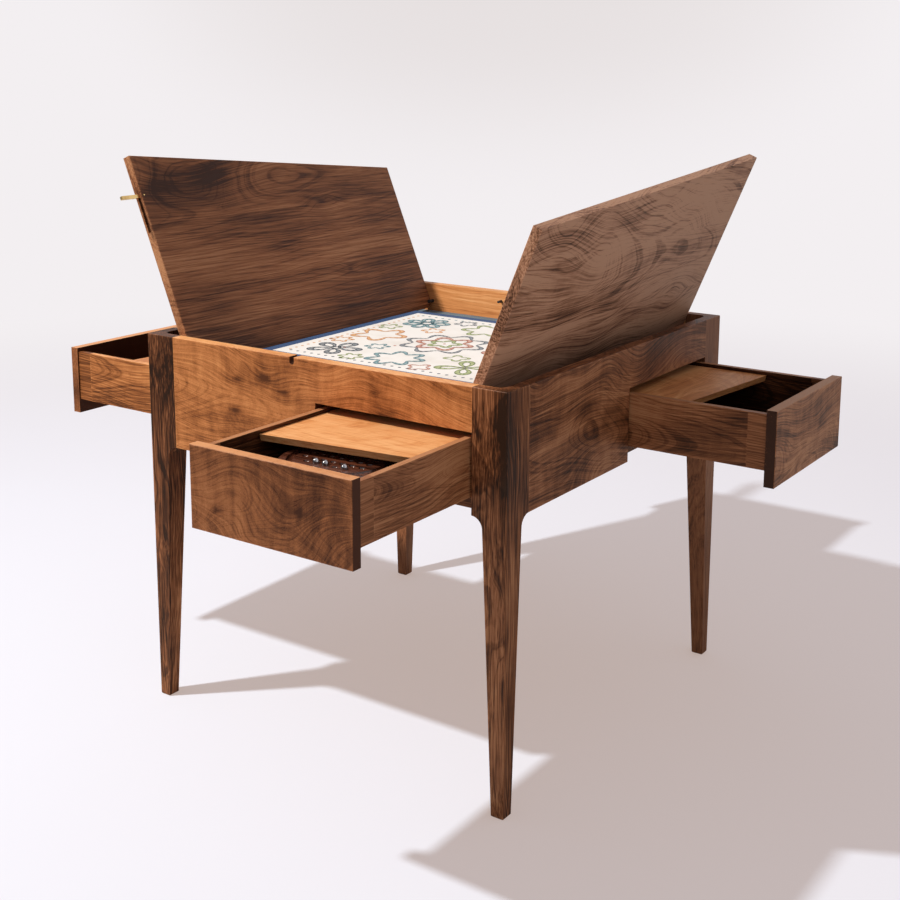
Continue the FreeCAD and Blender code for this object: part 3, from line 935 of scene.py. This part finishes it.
@dataclass
class Carcass:
    """Legs, aprons and the hidden frame that carries the drawers and the well."""

    wood: OiledWood = OiledWood()
    apron_middle: float = 0.649
    burl_shade: float = 0.10
    right_eye: Knot = Knot(-0.16, 0.03, 0.05)
    burl: Tuple[Tuple[float, float, float], ...] = (
        (-0.183, 0.700, 0.018),
        (-0.188, 0.640, 0.022),
        (-0.112, 0.712, 0.016),
        (-0.066, 0.690, 0.018),
        (0.150, 0.722, 0.016),
        (0.164, 0.684, 0.018),
    )

    def burr(self, shade: float) -> Tuple[Knot, ...]:
        """Dark burr at the head of a leg."""
        return (Knot(0.28, -0.115, 0.055, shade),)

    def boards(self) -> List[Board]:
        """All wooden pieces of the carcass.

        Returns:
            The boards.
        """
        x, y, z = Axis.X, Axis.Y, Axis.Z
        middle = self.apron_middle
        shade = self.burl_shade
        burl = tuple(Knot(along, level - middle, size, shade) for along, level, size in self.burl)
        eye = (self.right_eye,)
        dark, pale = self.burr(1.95), self.burr(0.95)
        return [
            Board("leg_front_right", z, x, 11, Tone.UMBER, Cut.QUARTER, 0.15, 2.0, 0.3, knots=pale),
            Board("leg_back_right", z, x, 12, Tone.CHOCOLATE, Cut.QUARTER, -0.06, 0.8, 0.2),
            Board("leg_back_left", z, x, 13, Tone.CHOCOLATE, Cut.QUARTER, 0.04, 0.8, 0.2),
            Board("leg_front_left", z, x, 14, Tone.UMBER, Cut.QUARTER, -0.02, 2.0, 0.3, knots=dark),
            # The front apron's dark ends fall on the side walls of its notch and drawer opening as
            # painted shade; its top edge gets a painted highlight and its notch floor painted
            # shade.
            Board(
                "apron_front", x, y, 21, Tone.GOLDEN, Cut.CROWN, -0.11, 1.0, 0.9, -0.6, 0.44,
                knots=burl,
            ),
            # The back apron gets a faint painted highlight along its top edge.
            Board("apron_back", x, y, 22, Tone.GOLDEN, Cut.RIFT, 0.15, 0.8, 0.2, painted_highlight=0.1),
            Board("apron_right", y, x, 23, Tone.UMBER, Cut.CROWN, 0.0, 2.0, 0.9, knots=eye),
            Board("apron_left", y, x, 24, Tone.CHOCOLATE, Cut.CROWN, 0.02, 0.9, 0.5),
            Board("carcass_floor", x, z, 31, Tone.UMBER, Cut.RIFT, staves=5),
            Board("drawer_divider_lengthwise", y, x, 32, Tone.UMBER, lift=-0.2),
            Board("drawer_divider_crosswise", x, y, 33, Tone.UMBER, lift=-0.2),
            Board("drawer_runners", y, z, 34, Tone.UMBER, lift=-0.2, worn=False),
            Board("drawer_stop_rails", x, z, 35, Tone.UMBER, lift=-0.2, worn=False),
            Board("well_floor_bearers", x, z, 36, Tone.BEECH, worn=False),
            Board("well_floor", x, z, 37, Tone.BEECH, staves=3),
            Board("apron_dowels", x, z, 38, Tone.BEECH, worn=False),
        ]

    def dress(self) -> None:
        """Gives each board its own grain and the screws their metal."""
        for board in self.boards():
            dress(board.node, self.wood.make(board))
        steel = TurnedMetal("zinc_screws", (0.55, 0.55, 0.56, 1), (0.40, 0.40, 0.43, 1), 0.34, 0.4)
        dress("floor_screws", steel.make())


@dataclass
class Lids:
    """Two leaning half lids with their pins and the pegs that hold them."""

    wood: OiledWood = OiledWood(roughness=0.52)
    left_knots: Tuple[Knot, ...] = (
        Knot(0.118, 0.075, 0.020, 0.08),
        Knot(0.144, -0.088, 0.012, 0.06),
        Knot(-0.340, 0.150, 0.050, 0.36),
        Knot(-0.190, 0.160, 0.055, 0.32),
    )
    right_knots: Tuple[Knot, ...] = (
        Knot(-0.300, -0.120, 0.050, 0.05),
        Knot(0.060, -0.150, 0.030),
        Knot(0.250, 0.060, 0.018),
    )

    def lean_of(self, joint_name: str) -> Lean:
        """Turn that closes a lid, read from its joint.

        Args:
            joint_name: Name of the lid's joint.

        Returns:
            The turn about the joint's place.
        """
        joint = next(row for row in FRAME["joints"] if row["name"] == joint_name)
        closed = math.radians(joint["range_deg"][1]) * joint["axis"][1]
        return Lean(tuple(joint["pos_m"]), closed)

    def dress(self) -> None:
        """Gives the lids their wood, and the pins and pegs their metal and rubber."""
        left = Board(
            "left_lid", Axis.Y, Axis.Z, 41, Tone.CHOCOLATE, Cut.RIFT, -0.05, 1.35, 0.12, 0.24,
            staves=3, knots=self.left_knots, lean=self.lean_of("left_lid_hinge"),
        )
        # The right lid's high lift and greyer tone are partly a painted sheen on its shaded outer
        # face; its inner face gets painted shade to fall back darker.
        right = Board(
            "right_lid", Axis.Y, Axis.Z, 44, Tone.PAINTED_SHEEN, Cut.CROWN, 0.36, 2.3, 0.5, -0.2,
            inside=-0.20, staves=3, knots=self.right_knots, lean=self.lean_of("right_lid_hinge"),
        )
        for board in (left, right):
            dress(board.node, self.wood.make(board))
        shine, tarnish = (0.80, 0.57, 0.24, 1), (0.55, 0.36, 0.14, 1)
        brass = TurnedMetal("satin_brass", shine, tarnish, 0.26, 0.5).make()
        for piece in ("left_lid_pull", "right_lid_pull", "left_lid_pins", "right_lid_pins"):
            dress(piece, brass)
        dress("lid_pivot_bushes", brass)
        rubber, bloom = (0.012, 0.012, 0.013, 1), (0.045, 0.043, 0.042, 1)
        sleeve = MattBlack("black_sleeve", rubber, bloom).make()
        dress("lid_rest_pegs", sleeve)
        dress("lid_stop_pegs", sleeve)


class Curve(Enum):
    """Kind of a printed loop."""

    LOBED = 0
    KNOTTED = 1


@dataclass(frozen=True)
class Motif:
    """Printed loop: its curve and size, its least and most width, and its cross bars."""

    curve: Curve
    centre: Span
    radius: float
    lobes: int
    depth: float
    turn: float
    widths: Span
    bars: int
    sections: int = 288

    def angles(self) -> np.ndarray:
        """Angle of each section round the loop."""
        return np.arange(self.sections) / self.sections * 2 * np.pi

    def path(self) -> np.ndarray:
        """Points of the closed loop.

        A lobed loop's distance from its centre is the radius times one plus the depth times the
        cosine of the lobes round the circle. A knotted loop is the track of a pen on a wheel that
        rolls inside a ring, with the depth as the pen's distance from the wheel's centre.

        Returns:
            The points, one row each.
        """
        angle = self.angles()
        ring = np.stack([np.cos(angle + self.turn), np.sin(angle + self.turn)], 1)
        if self.curve is Curve.LOBED:
            reach = self.radius * (1 + self.depth * np.cos(self.lobes * angle))
            return np.array(self.centre) + ring * reach[:, None]
        spin = -(self.lobes - 1) * angle + self.turn
        wheel = np.stack([np.cos(spin), np.sin(spin)], 1)
        return np.array(self.centre) + (ring * self.radius + wheel * self.depth)

    def width(self) -> np.ndarray:
        """Width at each section, which swells once in each lobe."""
        thin, thick = self.widths
        return thin + (thick - thin) * (0.5 + 0.5 * np.cos(self.lobes * self.angles()))


@dataclass
class Well:
    """Lined well with its playing board and a print of plain loops and dots."""

    band_thickness: float = 0.00016
    band_step: float = 0.00003
    corner_place: float = 0.158
    side_place: float = 0.166
    rosette_places: Span = (0.098, 0.203)
    rosette_radius: float = 0.019
    rosette_depth: float = 0.28
    rosette_widths: Span = (0.003, 0.007)
    dot_sides: int = 18
    dot_radius: float = 0.0032
    trail_reach: float = 0.218
    trail_place: float = 0.226

    def print_level(self) -> float:
        """Height of the paper's upper face."""
        return float(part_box("board_print")[1].z)

    def loop(self, parts: MeshParts, motif: Motif, level: float) -> None:
        """Adds a closed flat band.

        The band is a thin rectangle carried along the closed path: each section stands half a width
        to each side along the path's normal, between two levels.

        Args:
            parts: Mesh to add to.
            motif: Loop that the band follows.
            level: Height of the band's underside.
        """
        path, count = motif.path(), motif.sections
        tangent = np.roll(path, -1, 0) - np.roll(path, 1, 0)
        tangent /= np.linalg.norm(tangent, axis=1, keepdims=True)
        normal = np.stack([-tangent[:, 1], tangent[:, 0]], 1) * motif.width()[:, None] / 2
        left, right = path + normal, path - normal
        top = level + self.band_thickness
        corners = [(left, level), (right, level), (right, top), (left, top)]
        rows = [np.column_stack([side, np.full(count, height)]) for side, height in corners]
        places = np.stack(rows, 1).reshape(-1, 3)
        here = np.arange(count)[:, None] * 4
        ahead = np.roll(here, -1, 0)
        corner = np.arange(4)[None, :]
        after = (corner + 1) % 4
        faces = np.stack([here + corner, ahead + corner, ahead + after, here + after], 2)
        stripe = np.repeat(0.5 + 0.5 * np.cos(motif.bars * motif.angles()), 4)
        across = np.tile(np.array([1.0, -1.0, -1.0, 1.0]), count)
        parts.add(places, [faces.reshape(-1, 4)], stripe, across)

    def dots(self, parts: MeshParts, centres: np.ndarray, radius: float, level: float) -> None:
        """Adds flat round dots.

        Each dot is a low prism over a circle of points round its centre.

        Args:
            parts: Mesh to add to.
            centres: Middle of each dot, one row each.
            radius: Radius of the dots.
            level: Height of their undersides.
        """
        turn = np.arange(self.dot_sides) / self.dot_sides * 2 * np.pi
        ring = np.stack([np.cos(turn), np.sin(turn)], 1) * radius
        first = np.arange(self.dot_sides)
        second = np.roll(first, -1)
        walls = np.stack([first, second, second + self.dot_sides, first + self.dot_sides], 1)
        caps = np.stack([first[::-1], first + self.dot_sides])
        for centre in centres:
            flat = ring + centre
            low = np.column_stack([flat, np.full(self.dot_sides, level)])
            high = np.column_stack([flat, np.full(self.dot_sides, level + self.band_thickness)])
            zeros = np.zeros(self.dot_sides * 2)
            parts.add(np.concatenate([low, high]), [walls, caps], zeros, zeros)

    def rosettes(self, first: int) -> List[Motif]:
        """Small lobed loops between the large ones, every fifth of them in one colour.

        Args:
            first: Number of the colour.

        Returns:
            The loops of that colour.
        """
        near, edge = self.rosette_places
        steps = [(near, near), (edge, near * 0.85), (near * 0.85, edge)]
        places = [(x * right, y * up) for x, y in steps for right in (1, -1) for up in (1, -1)]
        size, depth, widths = self.rosette_radius, self.rosette_depth, self.rosette_widths
        return [
            Motif(Curve.LOBED, places[row], size, 3 + row % 4, depth, 0.5 * row, widths, 24)
            for row in range(first, len(places), 5)
        ]

    def print_bands(self) -> None:
        """Builds the printed loops and dots of the playing surface, colour by colour."""
        level = self.print_level()
        far, side = self.corner_place, self.side_place
        inks = {
            "slate": (screen(84, 92, 104), screen(176, 182, 186), screen(52, 58, 70)),
            "olive": (screen(138, 152, 100), screen(196, 204, 158), screen(96, 112, 66)),
            "amber": (screen(208, 152, 104), screen(238, 206, 168), screen(176, 112, 70)),
            "teal": (screen(86, 128, 140), screen(178, 204, 208), screen(54, 90, 106)),
            "brick": (screen(178, 116, 98), screen(226, 190, 176), screen(138, 78, 64)),
        }
        lobed, knotted, middle = Curve.LOBED, Curve.KNOTTED, (0.0, 0.0)
        motifs = {
            "slate": [
                Motif(knotted, (-far, -far), 0.030, 5, 0.022, 0.2, (0.006, 0.015), 48),
                Motif(lobed, middle, 0.078, 8, 0.13, 0.0, (0.004, 0.011), 64),
            ],
            "olive": [
                Motif(knotted, (far, -far), 0.029, 4, 0.024, 0.5, (0.006, 0.014), 40),
                Motif(lobed, (0.0, side), 0.046, 6, 0.24, 0.3, (0.005, 0.011), 30),
                Motif(lobed, middle, 0.026, 5, 0.25, 0.4, (0.006, 0.011), 20),
            ],
            "amber": [
                Motif(knotted, (far, far), 0.031, 6, 0.020, 0.0, (0.006, 0.014), 48),
                Motif(lobed, (-side, 0.0), 0.046, 5, 0.26, 0.1, (0.005, 0.012), 35),
            ],
            "teal": [
                Motif(knotted, (-far, far), 0.030, 7, 0.018, 0.3, (0.006, 0.013), 49),
                Motif(lobed, (0.0, -side), 0.047, 7, 0.22, 0.2, (0.005, 0.011), 42),
            ],
            "brick": [
                Motif(lobed, (side, 0.0), 0.045, 4, 0.30, 0.4, (0.005, 0.012), 36),
                Motif(lobed, middle, 0.050, 6, 0.20, 0.1, (0.006, 0.012), 36),
            ],
        }
        trail = np.linspace(-self.trail_reach, self.trail_reach, 25)
        edge = np.full_like(trail, self.trail_place)
        slant = trail[4:-4:4]
        trails = {
            "slate": np.stack([trail, -edge], 1),
            "olive": np.stack([edge, trail], 1),
            "teal": np.stack([trail, edge], 1),
            "amber": np.stack([-edge, trail], 1),
            "brick": np.stack([slant, slant], 1),
        }
        step = 0
        for number, (colour, loops) in enumerate(motifs.items()):
            parts = MeshParts()
            for motif in loops:
                step += 1
                self.loop(parts, motif, level + step * self.band_step)
            self.dots(parts, trails[colour], self.dot_radius, level + self.band_step)
            for motif in self.rosettes(number):
                self.loop(parts, motif, level + self.band_step)
            ink = PrintInk("ink_" + colour, *inks[colour])
            piece = parts.build("print_" + colour, ink.make())
            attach(piece, "table")

    def dress(self) -> None:
        """Gives the well its felt, the board its cloth and the print its paper."""
        felt = Felt("blue_felt", screen(52, 84, 104), screen(78, 116, 138), screen(120, 152, 168))
        dress("well_lining", felt.make())
        cloth = BookCloth("navy_cloth", screen(26, 50, 88), screen(58, 92, 140), 0.0011)
        dress("playing_board", cloth.make())
        paper = PrintPaper("print_paper", screen(237, 235, 236), screen(224, 219, 216))
        dress("board_print", paper.make())
        self.print_bands()


class Side(Enum):
    """Side of the table: its word, its drawer's axes across and along the pull, and its woods.

    The face's wood comes with its lift, its contrast and the shade of its ends, the woods of the
    box and of the cover with their lifts.
    """

    FRONT = (
        "front", Axis.X, Axis.Y,
        (Tone.RUSSET, -0.23, 1.0, -0.72), (Tone.UMBER, 0.24), (Tone.GOLDEN, 0.27),
    )
    RIGHT = (
        "right", Axis.Y, Axis.X,
        (Tone.CHOCOLATE, 0.08, 2.0, -0.76), (Tone.UMBER, 0.10), (Tone.GOLDEN, 0.18),
    )
    BACK = (
        "back", Axis.X, Axis.Y,
        (Tone.CHOCOLATE, 0.02, 1.6, -0.72), (Tone.UMBER, 0.12), (Tone.GOLDEN, 0.12),
    )
    LEFT = (
        "left", Axis.Y, Axis.X,
        (Tone.RUSSET, 0.0, 1.0, -0.15), (Tone.GOLDEN, -0.20), (Tone.GOLDEN, 0.10),
    )


@dataclass
class Drawers:
    """Four drawers with faces, boxes and sliding covers."""

    wood: OiledWood = OiledWood()
    # Painted shade on the inner faces of every drawer piece.
    painted_inside_shade: float = 0.70
    # Darker tone of drawer backs and bottoms, partly painted shade deepening the dark inside the
    # drawers.
    hidden_lift: float = -0.1
    cleat_lift: float = -0.08
    face_figure: float = 1.2
    # Painted highlight along the top edge of each drawer face.
    face_painted_highlight: float = 0.68
    side_contrast: float = 1.5
    side_figure: float = 0.4
    # Painted highlight along the top edges of the drawer sides.
    side_painted_highlight: float = 0.36
    first_seed: int = 50
    seed_step: int = 10
    face_knots: Tuple[Knot, ...] = (
        Knot(0.060, 0.000, 0.022, 0.06),
        Knot(-0.110, -0.030, 0.018, 0.05),
    )

    def boards(self, side: Side, seed: int) -> List[Board]:
        """Wooden pieces of one drawer.

        Args:
            side: Side of the table.
            seed: First seed of its grain.

        Returns:
            The boards.
        """
        word, across, pull, face_wood, (box, box_lift), (cover, cover_lift) = side.value
        face, face_lift, contrast, end = face_wood
        name = word + "_drawer_"
        floor = name + "bottom"

        def painted_inward_shade(piece: str, axis: Axis) -> float:
            """Painted shade of a piece's inner face, signed by the way to the middle of its drawer.
            """
            way = sum(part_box(floor), Vector()) - sum(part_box(name + piece), Vector())
            return math.copysign(self.painted_inside_shade, way[axis.value])

        rows = [
            Board(
                name + "face", across, pull, seed, face, Cut.CROWN, face_lift, contrast,
                self.face_figure, end, self.face_painted_highlight, painted_inward_shade("face", pull),
                knots=self.face_knots,
            ),
            Board(
                name + "corner_cleats", pull, across, seed + 1, box, Cut.RIFT,
                box_lift + self.cleat_lift, worn=False,
            ),
            Board(
                name + "back", across, pull, seed + 4, Tone.UMBER, Cut.RIFT, self.hidden_lift,
                inside=painted_inward_shade("back", pull),
            ),
            Board(
                floor, across, Axis.Z, seed + 5, Tone.UMBER, Cut.RIFT, self.hidden_lift,
                inside=self.painted_inside_shade, staves=3,
            ),
            Board(
                name + "cover", across, Axis.Z, seed + 6, cover, Cut.CROWN, cover_lift,
                figure=0.3, staves=4,
            ),
        ]
        for index, piece in enumerate(("left_side", "right_side")):
            rows.append(
                Board(
                    name + piece, pull, across, seed + 2 + index, box, Cut.CROWN, box_lift,
                    self.side_contrast, self.side_figure, painted_highlight=self.side_painted_highlight,
                    inside=painted_inward_shade(piece, across),
                )
            )
        return rows

    def dress(self) -> None:
        """Gives each piece of each drawer its own grain."""
        for index, side in enumerate(Side):
            for board in self.boards(side, self.first_seed + self.seed_step * index):
                dress(board.node, self.wood.make(board))


@dataclass
class SolitaireSet:
    """Round solitaire board on bun feet, with its marbles."""

    wood: OiledWood = OiledWood(roughness=0.26, gloss=0.6)

    def dress(self) -> None:
        """Gives the board its rosewood and the marbles their polish."""
        x, z, wood = Axis.X, Axis.Z, Tone.ROSEWOOD
        board = Board("solitaire_board", x, z, 91, wood, Cut.CROWN, -0.12, worn=False)
        feet = Board("solitaire_board_feet", z, x, 92, wood, worn=False)
        for row in (board, feet):
            dress(row.node, self.wood.make(row))
        bright, dull = (0.42, 0.42, 0.44, 1), (0.30, 0.30, 0.32, 1)
        dress("solitaire_marbles", TurnedMetal("steel_marbles", bright, dull, 0.14, 0.15).make())


@dataclass
class Studio:
    """White floor and backdrop, one small key lamp at the front left, and a faint surround."""

    camera_place: Tuple[float, float, float] = (1.5653, -2.2332, 1.2910)
    camera_turns: Tuple[float, float, float] = (34.795, 10.643, 0.178)
    camera_lens: float = 54.34
    camera_shift: Span = (0.0, -0.15)
    lamp_place: Tuple[float, float, float] = (-1.07, -1.15, 2.30)
    lamp_radius: float = 0.04
    lamp_power: float = 47.0
    lamp_colour: Colour = (1.0, 0.94, 0.83, 1)
    floor_reach: float = 7.0
    floor_rings: int = 24
    floor_spokes: int = 96
    floor_fade: Span = (1.8, 4.6)
    floor_turn: Span = (1.5, 2.4)
    backdrop: Colour = screen(243, 239, 241)
    # Colour, centre and spread of the painted shade on the backdrop behind the table.
    backdrop_painted_shade: Colour = screen(230, 224, 224)
    backdrop_shade_way: Tuple[float, float, float] = (-0.535, 0.828, 0.166)
    back_way: Tuple[float, float, float] = (0.45, 0.89, 0.0)
    rise_span: Span = (0.0, 0.9)
    backdrop_shade_span: Span = (0.945, 0.999)
    skirt_span: Span = (-0.14, 0.02)
    behind_span: Span = (-0.35, 0.25)
    horizon_light: float = 0.42
    zenith_light: float = 0.34
    surround: Colour = (1.0, 0.985, 1.0, 1)
    floor_lift: Colour = (0.43, 0.335, 0.285, 1)
    floor_near: Colour = (0.66, 0.65, 0.66, 1)
    floor_front: Colour = (0.10, 0.10, 0.10, 1)
    floor_paint: Tuple[Colour, Colour] = ((0.366, 0.436, 0.560, 1), (0.376, 0.448, 0.580, 1))

    def make_camera(self) -> None:
        """Stands the camera where the photograph was taken from."""
        yaw, pitch, roll = (math.radians(turn) for turn in self.camera_turns)
        reach = math.cos(pitch)
        ahead = Vector((-math.sin(yaw) * reach, math.cos(yaw) * reach, -math.sin(pitch)))
        level = Vector((math.cos(yaw), math.sin(yaw), 0.0))
        upright = level.cross(ahead)
        right = level * math.cos(roll) + upright * math.sin(roll)
        up = upright * math.cos(roll) - level * math.sin(roll)
        turn = Matrix((right, up, -ahead)).transposed()
        data = bpy.data.cameras.new("studio_camera")
        data.lens = self.camera_lens
        data.shift_x, data.shift_y = self.camera_shift
        camera = bpy.data.objects.new("studio_camera", data)
        camera.matrix_world = Matrix.Translation(Vector(self.camera_place)) @ turn.to_4x4()
        bpy.context.scene.collection.objects.link(camera)
        bpy.context.scene.camera = camera

    def make_lamp(self) -> None:
        """Hangs the key lamp, whose light doesn't weaken across the floor."""
        data = bpy.data.lights.new("key_lamp", "POINT")
        data.energy = self.lamp_power
        data.shadow_soft_size = self.lamp_radius
        data.use_nodes = True
        graph = Graph(data.node_tree)
        even = graph.node("LightFalloff", None, {"Strength": 1.0}, "Constant")
        glow = graph.node("Emission", None, {"Color": self.lamp_colour, "Strength": even})
        graph.node("OutputLight", None, {"Surface": glow})
        lamp = bpy.data.objects.new("key_lamp", data)
        lamp.location = self.lamp_place
        bpy.context.scene.collection.objects.link(lamp)

    def make_world(self) -> None:
        """Faint surround, brighter at the horizon than overhead, and a backdrop with painted shade
        behind.
        """
        world = bpy.data.worlds.new("studio_world")
        bpy.context.scene.world = world
        world.use_nodes = True
        graph = Graph(world.node_tree)
        way = graph.node("TexCoord", None, None, "Generated")
        rise = graph.parts(way)[2]
        change = self.zenith_light - self.horizon_light
        strength = self.horizon_light + rise.smooth(*self.rise_span) * change
        around = graph.node("Background", None, {"Color": self.surround, "Strength": strength})
        # Painted shade on the backdrop behind the table, above the horizon only.
        dim = graph.dot(way, self.backdrop_shade_way).smooth(*self.backdrop_shade_span) * rise.smooth(*self.skirt_span)
        paint = graph.mix(dim, self.backdrop, self.backdrop_painted_shade)
        plain = graph.node("Background", None, {"Color": paint, "Strength": 1.0})
        behind = graph.dot(way, self.back_way).smooth(*self.behind_span)
        shown = graph.ray("Camera").call("MAXIMUM", graph.ray("Glossy") * behind)
        mixed = graph.node("MixShader", None, {0: shown, 1: around, 2: plain})
        graph.node("OutputWorld", None, {"Surface": mixed})

    def make_floor(self) -> None:
        """Lays a round pale floor that fades into the backdrop.

        The floor is a grid over radius and angle: rings grow as the square of their share of the
        reach, and each point is its radius times the cosine and sine of its angle.
        """
        rings, spokes = self.floor_rings, self.floor_spokes
        share = np.linspace(0.0, 1.0, rings + 1)[1:] ** 2
        turn = np.arange(spokes) / spokes * 2 * np.pi
        x = np.outer(share * self.floor_reach, np.cos(turn)).ravel()
        y = np.outer(share * self.floor_reach, np.sin(turn)).ravel()
        places = np.column_stack([x, y, np.zeros_like(x)])
        here = np.arange(spokes)
        ahead = np.roll(here, -1)
        start = np.arange(rings - 1)[:, None] * spokes
        outer = start + spokes
        quads = np.stack([start + here, outer + here, outer + ahead, start + ahead], 2)
        mesh = bpy.data.meshes.new("studio_floor")
        mesh.from_pydata(places, [], quads.reshape(-1, 4).tolist() + [here.tolist()])
        mesh.update()
        floor = bpy.data.objects.new("studio_floor", mesh)
        bpy.context.scene.collection.objects.link(floor)
        mesh.materials.append(self.floor_material())

    def floor_material(self) -> bpy.types.Material:
        """Pale painted floor, lifted for the camera and lost in the backdrop far away.

        Returns:
            The floor's material.
        """
        material, graph = new_material("pale_floor")
        x, y, _ = graph.parts(graph.point())
        far = (x * x + y * y).call("SQRT").smooth(*self.floor_fade)
        cloud = graph.noise(graph.point(), 1.4, 3.0)
        front = (x * -self.back_way[0] + y * -self.back_way[1]).smooth(*self.floor_turn)
        bounce = graph.mix(front, self.floor_near, self.floor_front)
        matt = graph.node("BsdfDiffuse", None, {"Color": bounce})
        paint = graph.mix(cloud, *self.floor_paint)
        shade = graph.node("BsdfDiffuse", None, {"Color": paint})
        glow = graph.node("Emission", None, {"Color": self.floor_lift, "Strength": 1.0})
        lifted = graph.node("AddShader", None, {0: shade, 1: glow})
        flat = graph.node("Emission", None, {"Color": self.backdrop, "Strength": 1.0})
        shown = graph.node("MixShader", None, {0: far, 1: lifted, 2: flat})
        seen = graph.ray("Camera").call("MAXIMUM", graph.ray("Transmission"))
        mixed = graph.node("MixShader", None, {0: seen, 1: matt, 2: shown})
        graph.node("OutputMaterial", None, {"Surface": mixed})
        return material

    def build(self) -> None:
        """Builds the whole studio."""
        bpy.context.scene.view_settings.view_transform = "Standard"
        self.make_camera()
        self.make_lamp()
        self.make_world()
        self.make_floor()


def main() -> None:
    """Builds the studio and dresses every piece of the table."""
    logging.basicConfig(level=logging.INFO)
    Studio().build()
    for part in (Carcass(), Lids(), Well(), Drawers(), SolitaireSet()):
        part.dress()
        LOG.info("%s done", type(part).__name__)


if __name__ == "__main__":
    main()
